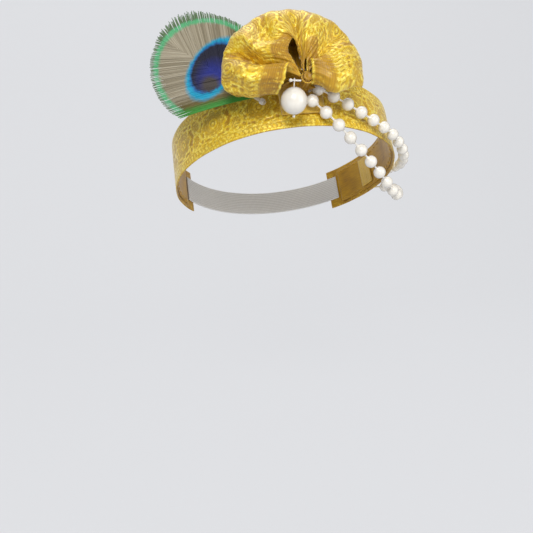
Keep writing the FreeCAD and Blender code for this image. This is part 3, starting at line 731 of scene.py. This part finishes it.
rosette = {
    "height": 14.5, "radius": 74.5, "at": -99.6, "yaw": 9.0, "lean": 15.0, "centre": (-5.0, 1.0),
    "thickness": 0.5, "flatLength": 0.13, "backDepth": -7.4, "backReach": 0.42, "stepsBetween": 30,
    "stepsAcross": 16, "columns": 72, "pucker": 0.3, "gatherWidth": 7.0, "drawn": 5.0, "drawnFold": 9.5,
    "drawnFolds": 3.0, "drawnUp": 0.75, "drawnUpBelow": 26.0,
    # each fold: rim direction and rim distance, then inner edge and front swell as across, up, out
    "folds": [
        (194, 29.5, (-12.2, -4.6, -2.5), (-24.0, -5.8, -4.0)),
        (190, 31.8, (-13.2, -6.4, 3.0), (-25.5, -7.2, 2.5)),
        (183, 32.6, (-12.6, -5.4, 8.5), (-26.6, -6.4, 8.5)),
        (177, 32.7, (-11.4, -3.4, 10.5), (-27.0, -4.5, 12.0)),
        (168, 33.2, (-9.2, 3.6, 9.2), (-24.4, 1.2, 10.0)),
        (163, 33.0, (-3.4, 0.0, 5.6), (-20.0, 4.8, 3.6)),
        (155, 33.0, (-5.6, 4.0, 7.2), (-20.8, 6.6, 8.0)),
        (142, 33.2, (-9.4, 9.6, 10.0), (-24.0, 9.2, 11.4)),
        (126, 32.2, (-7.6, 14.8, 9.2), (-17.5, 15.4, 7.0)),
        (109, 32.4, (-6.0, 15.4, 9.0), (-13.2, 19.2, 9.6)),
        (98, 32.4, (-3.8, 10.6, 7.0), (-7.6, 21.0, 7.2)),
        (88, 32.4, (-2.0, 2.0, 5.6), (-4.0, 18.4, 5.0)),
        (75, 33.0, (-1.6, 6.6, 7.0), (-0.8, 17.4, 9.8)),
        (60, 33.2, (-0.6, 9.2, 7.0), (4.8, 16.8, 9.0)),
        (45, 33.6, (0.0, 1.2, 4.4), (9.8, 15.2, 3.2)),
        (33, 33.4, (0.5, 4.8, 6.8), (11.0, 10.0, 6.6)),
        (19, 33.2, (1.0, 6.2, 8.4), (11.0, 4.2, 9.6)),
        (6, 32.8, (1.4, 1.6, 8.4), (11.2, -2.6, 11.0)),
        (-4, 32.0, (2.1, -1.0, 5.2), (11.6, -7.0, 6.4)),
        (0, 29.5, (2.4, -0.6, 1.2), (11.8, -3.6, 0.8)),
    ],
}


heart = {
    "at": (-2.0, 3.6), "reach": 15.0, "back": -2.8, "rise": 7.6, "waist": 3.0, "pleats": 17, "pleat": 0.5,
    "pleatFrom": 5.0, "low": 0.4,
}


def facing(yaw, lean, roll=0.0):
    upright = Matrix.Rotation(math.radians(-yaw), 4, "Z") @ Matrix.Rotation(math.radians(90.0 - lean), 4, "X")
    return upright @ Matrix.Rotation(math.radians(roll), 4, "Z")


def placed(height, radius, angle, turn):
    return Matrix.Translation(Vector(onBand(height, radius, angle))) @ turn


def smoothThrough(points, steps):
    # a curve through every point of the first axis, with the same number of steps between each
    ends = np.concatenate([2 * points[:1] - points[1:2], points, 2 * points[-1:] - points[-2:-1]])
    share = np.arange(steps) / steps
    share = share.reshape((-1,) + (1,) * (points.ndim - 1))
    rows = []
    for before, start, end, after in zip(ends, ends[1:], ends[2:], ends[3:]):
        rows.append(0.5 * (
            2 * start + (end - before) * share + (2 * before - 5 * start + 4 * end - after) * share ** 2
            + (3 * start - before - 3 * end + after) * share ** 3))
    return np.concatenate(rows + [points[-1:]])


def evenAcross(grid, columns):
    # each row of a grid divided again at equal distances
    rows = []
    lengths = []
    for row in grid:
        run = runLengths(row)
        rows.append(placesAt(np.linspace(0.0, run[-1], columns), run, row))
        lengths.append(run[-1])
    return np.array(rows), np.array(lengths)


def gridNormals(places):
    normals = np.cross(np.gradient(places, axis=1), np.gradient(places, axis=0))
    return normals / (np.linalg.norm(normals, axis=-1)[..., None] + 1e-12)


def gatheredHeart(place):
    # the ribbon's inner edge drawn together: pleats running down into the stitched middle
    turn, reach = np.meshgrid(
        np.linspace(0.0, 2 * np.pi, 220), np.linspace(0.7, heart["reach"], 30), indexing="ij")
    depth = heart["back"] + heart["rise"] * np.exp(-(reach / heart["waist"]) ** 2)
    pleat = heart["pleat"] * np.minimum(reach / heart["pleatFrom"], 1.0)
    pleat = pleat * np.cos(heart["pleats"] * turn + 0.6 * np.sin(3 * turn))
    across, up = heart["at"]
    rise = np.where(np.sin(turn) < 0, heart["low"], 1.0) * np.sin(turn)
    places = np.stack([across + reach * np.cos(turn), up + reach * rise, depth + pleat], -1)
    normals = gridNormals(places)
    normals = normals * np.sign(normals[:, 5:, 2].mean())
    piece = closedSheet(
        "rosetteHeart", places * mm, normals, rosette["thickness"], turn * heart["reach"], reach + 2.0,
        0.0 * reach, satinMaterial)
    piece.data.transform(place)
    return finishPiece(piece, "root", "gold_brocade")


def gatheredNeck(place):
    # the bound ends of the ribbon, pressed on the felt
    profile = [
        (0.0, -8.6), (4.2, -8.6), (3.6, -7.6), (2.4, -6.6), (2.2, -3.0), (2.2, 2.6), (1.9, 3.8), (1.85, 4.6),
        (1.9, 5.2), (2.1, 5.8), (1.6, 6.4), (0.8, 6.0), (0.0, 5.8)]
    piece = lathe("rosetteNeck", [(radius * mm, depth * mm) for radius, depth in profile], 72)
    for vertex in piece.data.vertices:
        turn = math.atan2(vertex.co.y, vertex.co.x)
        vertex.co *= Vector((1, 1, 0)) * (1 + 0.07 * math.cos(9 * turn)) + Vector((0, 0, 1))
    smoothCoat(piece, satinMaterial)
    piece.data.transform(place)
    return finishPiece(piece, "root", "gold_brocade")


def foldSection(direction, reach, edge, swell):
    # one fold from its inner edge over the front and the rim to its back; directions in degrees
    def ray(angle):
        return np.array([math.cos(math.radians(angle)), math.sin(math.radians(angle)), 0.0])

    def out(depth):
        return np.array([0, 0, depth])

    centre = np.array([*rosette["centre"], 0.0])
    rim = centre + ray(direction) * reach
    edge = np.array(edge)
    swell = np.array(swell)
    start = edge * 0.62 + swell * 0.38 + out(0.8)
    shoulder = swell * 0.38 + rim * 0.62 + out(0.28 * swell[2]) + ray(direction) * 0.4
    # behind, the right fold is drawn up, clear of the lifted swag
    lifted = direction + rosette["drawnUp"] * max(0.0, rosette["drawnUpBelow"] - direction)
    behind = centre + ray(lifted) * reach * 0.86 + out(rosette["backDepth"] * 0.72)
    rear = centre + ray(lifted) * reach * rosette["backReach"] + out(rosette["backDepth"])
    return [edge, start, swell, shoulder, rim, behind, rear]


def makeRosette():
    controls = np.array([foldSection(*fold) for fold in rosette["folds"]])
    grid = smoothThrough(controls, rosette["stepsBetween"])
    grid = np.swapaxes(smoothThrough(np.swapaxes(grid, 0, 1), rosette["stepsAcross"]), 0, 1)
    places, lengths = evenAcross(grid, rosette["columns"])
    print("rosette ribbon width across", lengths.min().round(1), "to", lengths.max().round(1), "mm")
    column = int(rosette["columns"] * 0.55)  # the row of the grid whose length lays out the weave
    along = runLengths(places[:, column])[:, None] + np.zeros(rosette["columns"])
    across = np.linspace(0.0, ribbon["width"], rosette["columns"]) + np.zeros_like(along)
    # the figure is drawn nearer the inner edge on the upper folds
    fold = np.arange(len(places))[:, None] / rosette["stepsBetween"]
    upper = np.exp(-((fold - rosette["drawnFold"]) / rosette["drawnFolds"]) ** 2)
    across = across + rosette["drawn"] * upper * (1 - across / ribbon["width"])
    normals = gridNormals(places)
    if normals[:, rosette["columns"] // 3, 2].mean() < 0:
        normals = -normals
    # fine gathers that die out away from the stitched edge, and slow waves in the cloth
    gather = rosette["pucker"] * np.exp(-across / rosette["gatherWidth"])
    gather = gather * np.sin(along * 2.4 + 0.5 * np.sin(along * 0.7))
    slow = 0.28 * np.sin(along * 0.33 + across * 0.21) + 0.12 * np.sin(along * 0.8 - across * 0.37)
    places = places + normals * (gather + slow)[..., None]
    piece = closedSheet(
        "rosetteRibbon", places * mm, normals, rosette["thickness"], along, across,
        wovenFigure(along, across), brocadeMaterial)
    place = placed(
        rosette["height"], rosette["radius"], rosette["at"], facing(rosette["yaw"], rosette["lean"]))
    piece.data.transform(place)
    finishPiece(piece, "root", "gold_brocade", "rosette_ribbon")
    area = sum(face.area for face in piece.data.polygons) / 2
    print("rosette area", round(area * 1e6), "square mm")
    inner = [gatheredHeart(place), gatheredNeck(place)]


makeRosette()
print("rosette gathered")


# ---- feather eye: separate barbs on a bare shaft, cut to a round top

feather = {
    "height": 15.3, "radius": 67.0, "at": -118.2, "yaw": 20.0, "lean": 18.0, "roll": 57.0, "round": 28.0,
    "lowest": -6.0, "barbs": 118, "rootSpan": 48.0, "halfWidth": 0.36 * mm, "flatness": 0.3, "jitter": 0.7,
    "pinch": 0.55, "crest": 4.2, "crestAt": 0.68, "crestSpread": 0.3, "cup": 0.0035, "seed": 7,
}
# Barbs of an eyed tail feather: thin film colours over brown keratin, satin gloss along each barb
plume = {
    "bronze": "#a89e88", "taupe": "#7d735b", "ring": "#56a873", "fringe": "#56704a", "edge": "#348227",
    "olive": "#5e5220", "turquoise": "#0795b8", "deep": "#0a62a0", "heart": "#0d0d26", "royal": "#10207c",
    "patch": "#3c342f",
    # each ellipse of the eye, in millimetres from the lowest root: middle, half size, softness of its rim
    "zones": {
        "insideRing": ((0, feather["round"]), (23.6, 23.6), 0.03),
        "insideFringe": ((0, feather["round"]), (26.1, 26.1), 0.02),
        "turquoise": ((1.5, 25.3), (18.0, 10.9), 0.07),
        "deep": ((1.5, 26.0), (14.6, 9.4), 0.05),
        "heart": ((1.5, 26.3), (13.3, 8.2), 0.05),
        "blush": ((-2.0, 24.0), (6.6, 5.4), 0.6),
        "notch": ((-0.5, 19.0), (3.4, 6.4), 0.3),
        "patch": ((-6.6, 21.8), (4.3, 4.3), 0.35),
    },
    # the barbs below the eye: how a place's height and its distance sideways count, and where each starts
    "slope": (0.74, 0.673), "oliveBelow": (5.0, 9.0), "edgeBelow": (2.2, 4.4),
}


def makePlumeMaterial():
    material, tree, shader = newMaterial(
        "iridescent feather barbs", 0.5, Sheen_Weight=0.04, Specular_IOR_Level=0.35)
    spot = addNode(tree, "ShaderNodeAttribute", attribute_name="plume").outputs["Vector"]
    wobble = addNode(tree, "ShaderNodeTexNoise", {"Vector": spot, "Scale": 0.55, "Detail": 3.0})
    shift = addNode(
        tree, "ShaderNodeVectorMath", {0: wobble.outputs["Color"], 1: (0.5, 0.5, 0.5)}, operation="SUBTRACT")
    own = addNode(tree, "ShaderNodeSeparateXYZ", {0: spot}).outputs["Z"]
    loose = addNode(
        tree, "ShaderNodeVectorMath", {0: shift.outputs[0], 1: (1.8, 1.8, 0.0), 2: spot},
        operation="MULTIPLY_ADD")
    part = addNode(tree, "ShaderNodeSeparateXYZ", {0: loose.outputs[0]})
    sideways = addNode(tree, "ShaderNodeMath", {0: part.outputs["X"]}, operation="ABSOLUTE")
    inside = {}
    for name, (middle, half, soft) in plume["zones"].items():
        # 1 inside the ellipse, 0 outside, over its soft rim
        away = addNode(
            tree, "ShaderNodeVectorMath", {0: loose.outputs[0], 1: (*middle, 0)}, operation="SUBTRACT")
        even = addNode(
            tree, "ShaderNodeVectorMath", {0: away.outputs[0], 1: (1 / half[0], 1 / half[1], 0)},
            operation="MULTIPLY")
        reach = addNode(tree, "ShaderNodeVectorMath", {0: even.outputs[0]}, operation="LENGTH")
        zone = addNode(tree, "ShaderNodeMapRange", {
            "Value": reach.outputs["Value"], "From Min": 1 - soft, "From Max": 1 + soft, "To Min": 1,
            "To Max": 0})
        inside[name] = zone.outputs[0]
    for name in ("insideRing", "insideFringe"):
        outside = addNode(tree, "ShaderNodeMath", {0: 1.0, 1: inside[name]}, operation="SUBTRACT")
        inside[name] = outside.outputs[0]
    for name in ("blush", "notch", "patch"):
        kept = addNode(tree, "ShaderNodeMath", {0: inside[name], 1: inside["deep"]}, operation="MULTIPLY")
        inside[name] = kept.outputs[0]
    upward, outward = plume["slope"]
    flank = addNode(tree, "ShaderNodeMath", {0: sideways.outputs[0], 1: outward}, operation="MULTIPLY")
    depth = addNode(tree, "ShaderNodeMath", {0: part.outputs["Y"], 1: upward}, operation="MULTIPLY")
    depth = addNode(
        tree, "ShaderNodeMath", {0: depth.outputs[0], 1: flank.outputs[0]}, operation="SUBTRACT")
    for name in ("olive", "edge"):
        low, high = plume[name + "Below"]
        below = addNode(tree, "ShaderNodeMapRange", {
            "Value": depth.outputs[0], "From Min": low, "From Max": high, "To Min": 1, "To Max": 0})
        inside[name] = below.outputs[0]
    mixed = addNode(
        tree, "ShaderNodeMix", {0: own, 6: plume["taupe"], 7: plume["bronze"]}, data_type="RGBA")
    layers = [
        ("olive", "olive"), ("insideRing", "ring"), ("insideFringe", "fringe"), ("edge", "edge"),
        ("turquoise", "turquoise"), ("deep", "deep"), ("heart", "heart"), ("blush", "royal"),
        ("notch", "royal"), ("patch", "patch"),
    ]
    for zone, colour in layers:
        mixed = addNode(
            tree, "ShaderNodeMix", {0: inside[zone], 6: mixed.outputs[2], 7: plume[colour]}, data_type="RGBA")
    gloss = addNode(tree, "ShaderNodeMapRange", {"Value": inside["turquoise"], "To Min": 0.0, "To Max": 0.15})
    tree.links.new(gloss.outputs[0], shader.inputs["Metallic"])
    fuzz = addNode(tree, "ShaderNodeTexNoise", {"Vector": spot, "Scale": 4.0, "Detail": 2.0})
    paintSurface(tree, shader, mixed.outputs[2], fuzz.outputs["Fac"], 0.4, 0.1)
    return material


def makeFeather():
    random = np.random.default_rng(feather["seed"])
    roots, bends, tips = [], [], []
    for side in (-1, 1):
        for step in range(feather["barbs"]):
            share = step / (feather["barbs"] - 1)
            pinch = feather["pinch"] * random.uniform(-1, 1) * (0.4 + share)
            turn = math.radians(feather["lowest"] + (90 - feather["lowest"]) * share + pinch)
            around = share if side > 0 else 2 - share
            fromCrest = (around - feather["crestAt"]) / feather["crestSpread"]
            crest = feather["crest"] * math.exp(-fromCrest ** 2)
            reach = feather["round"] + crest - random.uniform(0, feather["jitter"] + 0.5 * crest)
            tip = np.array([side * reach * math.cos(turn), feather["round"] + reach * math.sin(turn), 0.0])
            root = np.array([0.0, feather["rootSpan"] * share, 0.0])
            bend = root * 0.5 + tip * 0.5 + np.array([0.0, 1.6 * (1 - share), 0.0])
            layer = random.uniform(-0.12, 0.12)
            for place in (root, bend, tip):
                place[2] = layer - feather["cup"] * place[0] ** 2
            roots.append(root * mm)
            bends.append(bend * mm)
            tips.append(tip * mm)
    piece = pointsPiece("featherBarbs", {"root": roots, "bend": bends, "tip": tips})
    runTree(piece, strandTree, {
        "Half width": feather["halfWidth"], "Flatness": feather["flatness"], "Tip share": 0.4,
        "Taper from": 0.72, "Steps": 18, "Material": makePlumeMaterial()})
    spots = np.array([vertex.co for vertex in piece.data.vertices]) / mm
    # the third value is each barb's own tone, from dark to pale
    spots[:, 2] = np.repeat(random.random(len(roots)), len(spots) // len(roots))
    piece.data.attributes.new("plume", "FLOAT_VECTOR", "POINT").data.foreach_set("vector", spots.ravel())
    turn = facing(feather["yaw"], feather["lean"], feather["roll"])
    piece.data.transform(placed(feather["height"], feather["radius"], feather["at"], turn))
    finishPiece(piece, "root", "feather_barbs", "feather_vane")


makeFeather()
print("feather set")


# ---- sewing: running stitches, overcast stitches and bar tacks as bent lengths of thread

sewing = {
    "halfWidth": 0.24 * mm, "perEdge": 46, "length": 3.0, "edge": 3.4, "runInset": 3.0, "runBow": -0.55,
    "runClear": 0.05, "tackInset": 2.6, "tackRows": 9, "tackHalf": 0.8, "tackBow": 0.45, "feltPerSide": 7,
    "feltPitch": 2.5, "feltBow": 0.7,
}


def stitchPiece(name, ends, bow, node):
    # each stitch bows a little off the cloth; the bow is measured away from the band's axis
    roots, bends, tips = [], [], []
    for start, end in ends:
        middle = [(a + b) / 2 for a, b in zip(start, end)]
        middle[1] += bow
        roots.append(onBand(*start))
        bends.append(onBand(*middle))
        tips.append(onBand(*end))
    piece = pointsPiece(name, {"root": roots, "bend": bends, "tip": tips})
    runTree(piece, strandTree, {
        "Half width": sewing["halfWidth"], "Flatness": 1.0, "Tip share": 0.7, "Taper from": 0.8, "Steps": 7,
        "Material": goldThread})
    finishPiece(piece, "root", "gold_thread", node)


def makeStitches():
    # running stitches along both edges of the lining
    inside = band["radius"] - band["thickness"] - 2 * band["gap"] - lining["thickness"]
    radius = inside + sewing["runClear"]
    half = band["halfAngle"] - lining["setback"] - sewing["runInset"]
    reach = math.degrees(sewing["length"] / inside) / 2
    heights = {"lower": band["low"] + sewing["edge"], "upper": band["low"] + band["width"] - sewing["edge"]}
    for label, height in heights.items():
        ends = []
        for angle in np.linspace(*eachSide(band["front"], half), sewing["perEdge"]):
            ends.append(((height, radius, angle - reach), (height, radius, angle + reach)))
        stitchPiece(label + "LiningStitches", ends, sewing["runBow"], label + "_lining_stitches")
    # bar tacks where the band's ends hold the elastic
    outside = band["radius"] + band["gap"]
    pitch = elastic["width"] / sewing["tackRows"]
    for side, label in ((-1, "left"), (1, "right")):
        angle = band["front"] + side * (band["halfAngle"] - sewing["tackInset"])
        start, end = eachSide(angle, sewing["tackHalf"])
        ends = []
        for step in range(sewing["tackRows"]):
            height = bandMiddle + (step - (sewing["tackRows"] - 1) / 2) * pitch
            ends.append(((height - 0.45 * pitch, outside, start), (height + 0.45 * pitch, outside, end)))
        stitchPiece(label + "BarTack", ends, sewing["tackBow"], label + "_bar_tack")
    # overcast stitches over the felt's two sides
    radius = outside + felt["base"]
    ends = []
    for side in (-1, 1):
        edge = felt["at"] + side * felt["halfAngle"]
        for step in range(sewing["feltPerSide"]):
            height = felt["middle"] + (step - (sewing["feltPerSide"] - 1) / 2) * sewing["feltPitch"]
            low = (height, radius - 1.0, edge + side * 0.5)
            ends.append((low, (height + 0.8, radius, edge - side * 1.6)))
    stitchPiece("feltStitches", ends, sewing["feltBow"], "base_felt_stitches")


makeStitches()
print("stitches sewn")


# Bare keratin shaft: smooth, faintly grooved, cream towards its cut end
shaft = {"low": "#b7a98a", "high": "#e6dcc3", "grain": 1.2 * mm, "relief": 0.1}


def makeShaftMaterial():
    material, tree, shader = newMaterial("bare keratin shaft", 0.4, Coat_Weight=0.15)
    place = addNode(tree, "ShaderNodeTexCoord").outputs["Object"]
    grain = addNode(
        tree, "ShaderNodeTexNoise", {"Vector": place, "Scale": 1 / shaft["grain"], "Detail": 4.0})
    tone = addNode(
        tree, "ShaderNodeMix", {0: grain.outputs["Fac"], 6: shaft["low"], 7: shaft["high"]},
        data_type="RGBA")
    paintSurface(tree, shader, tone.outputs[2], grain.outputs["Fac"], 0.3, shaft["relief"])
    return material


def dressNodes():
    finishes = {
        "feather_quill": makeShaftMaterial(), "gather_thread": goldThread, "quill_wraps": whiteThread,
        "pearl_hanger": whiteThread, "pearl_loop": whiteThread, "large_pearl": pearlMaterial,
        "upper_strand_knots": linkMaterial, "lower_strand_knots": linkMaterial,
    }
    for name, material in finishes.items():
        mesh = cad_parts[name].data
        mesh.materials.clear()
        mesh.materials.append(material)


dressNodes()
print("frame pieces finished")


# ---- plain pale studio

studio = {
    "floorHeight": -0.19, "paper": "#e0e1e4", "wallDistance": 0.75, "wallHeight": 1.6, "half": 1.6,
    "bend": 0.35, "bendSteps": 12, "steady": 0.85, "room": "#f4f6fa", "world": 0.4,
    # each lamp: place, size in metres, watts
    "lamps": [
        ((-0.35, -0.85, 0.55), 0.45, 7.0), ((0.6, -0.7, 0.15), 0.6, 2.4), ((0.0, 0.25, 0.95), 0.7, 3.2)],
}


def makePaper():
    # a floor that bends up into a wall
    material, tree, shader = newMaterial("matt backdrop paper", 0.9)
    shader.inputs["Base Color"].default_value = linearColour(studio["paper"])
    seen = addNode(tree, "ShaderNodeLightPath").outputs["Is Camera Ray"]
    even = addNode(tree, "ShaderNodeEmission", {"Color": studio["paper"]})
    steady = addNode(tree, "ShaderNodeMath", {0: seen, 1: studio["steady"]}, operation="MULTIPLY")
    both = addNode(
        tree, "ShaderNodeMixShader", {0: steady.outputs[0], 1: shader.outputs[0], 2: even.outputs[0]})
    tree.links.new(both.outputs[0], tree.nodes["Material Output"].inputs["Surface"])
    profile = [(-studio["half"], 0.0)]
    for step in range(studio["bendSteps"] + 1):
        turn = math.pi / 2 * step / studio["bendSteps"]
        profile.append((
            studio["wallDistance"] - studio["bend"] + studio["bend"] * math.sin(turn),
            studio["bend"] - studio["bend"] * math.cos(turn)))
    profile.append((studio["wallDistance"], studio["wallHeight"]))
    vertices = []
    for y, z in profile:
        for x in (-studio["half"], studio["half"]):
            vertices.append((x, y, z + studio["floorHeight"]))
    faces = [(2 * i, 2 * i + 1, 2 * i + 3, 2 * i + 2) for i in range(len(profile) - 1)]
    piece = meshPiece("paperSweep", vertices, faces)
    smoothCoat(piece, material)


def lightStudio():
    world = bpy.data.worlds.new("softbox room")
    world.use_nodes = True
    room = world.node_tree
    air = room.nodes["Background"]
    air.inputs["Color"].default_value = linearColour(studio["room"])
    air.inputs["Strength"].default_value = studio["world"]
    seen = addNode(room, "ShaderNodeLightPath").outputs["Is Camera Ray"]
    paper = addNode(room, "ShaderNodeBackground", {"Color": studio["paper"]})
    mixed = addNode(room, "ShaderNodeMixShader", {0: seen, 1: air.outputs[0], 2: paper.outputs[0]})
    room.links.new(mixed.outputs[0], room.nodes["World Output"].inputs["Surface"])
    scene.world = world
    for step, (place, size, power) in enumerate(studio["lamps"]):
        data = bpy.data.lights.new(f"softLamp{step}", "AREA")
        data.size = size
        data.energy = power
        lamp = newPiece(f"softLamp{step}", data)
        lamp.location = place
        lamp.rotation_euler = (-Vector(place)).to_track_quat("-Z", "Y").to_euler()
    scene.view_settings.view_transform = "Standard"


makePaper()
lightStudio()
print("studio lit")
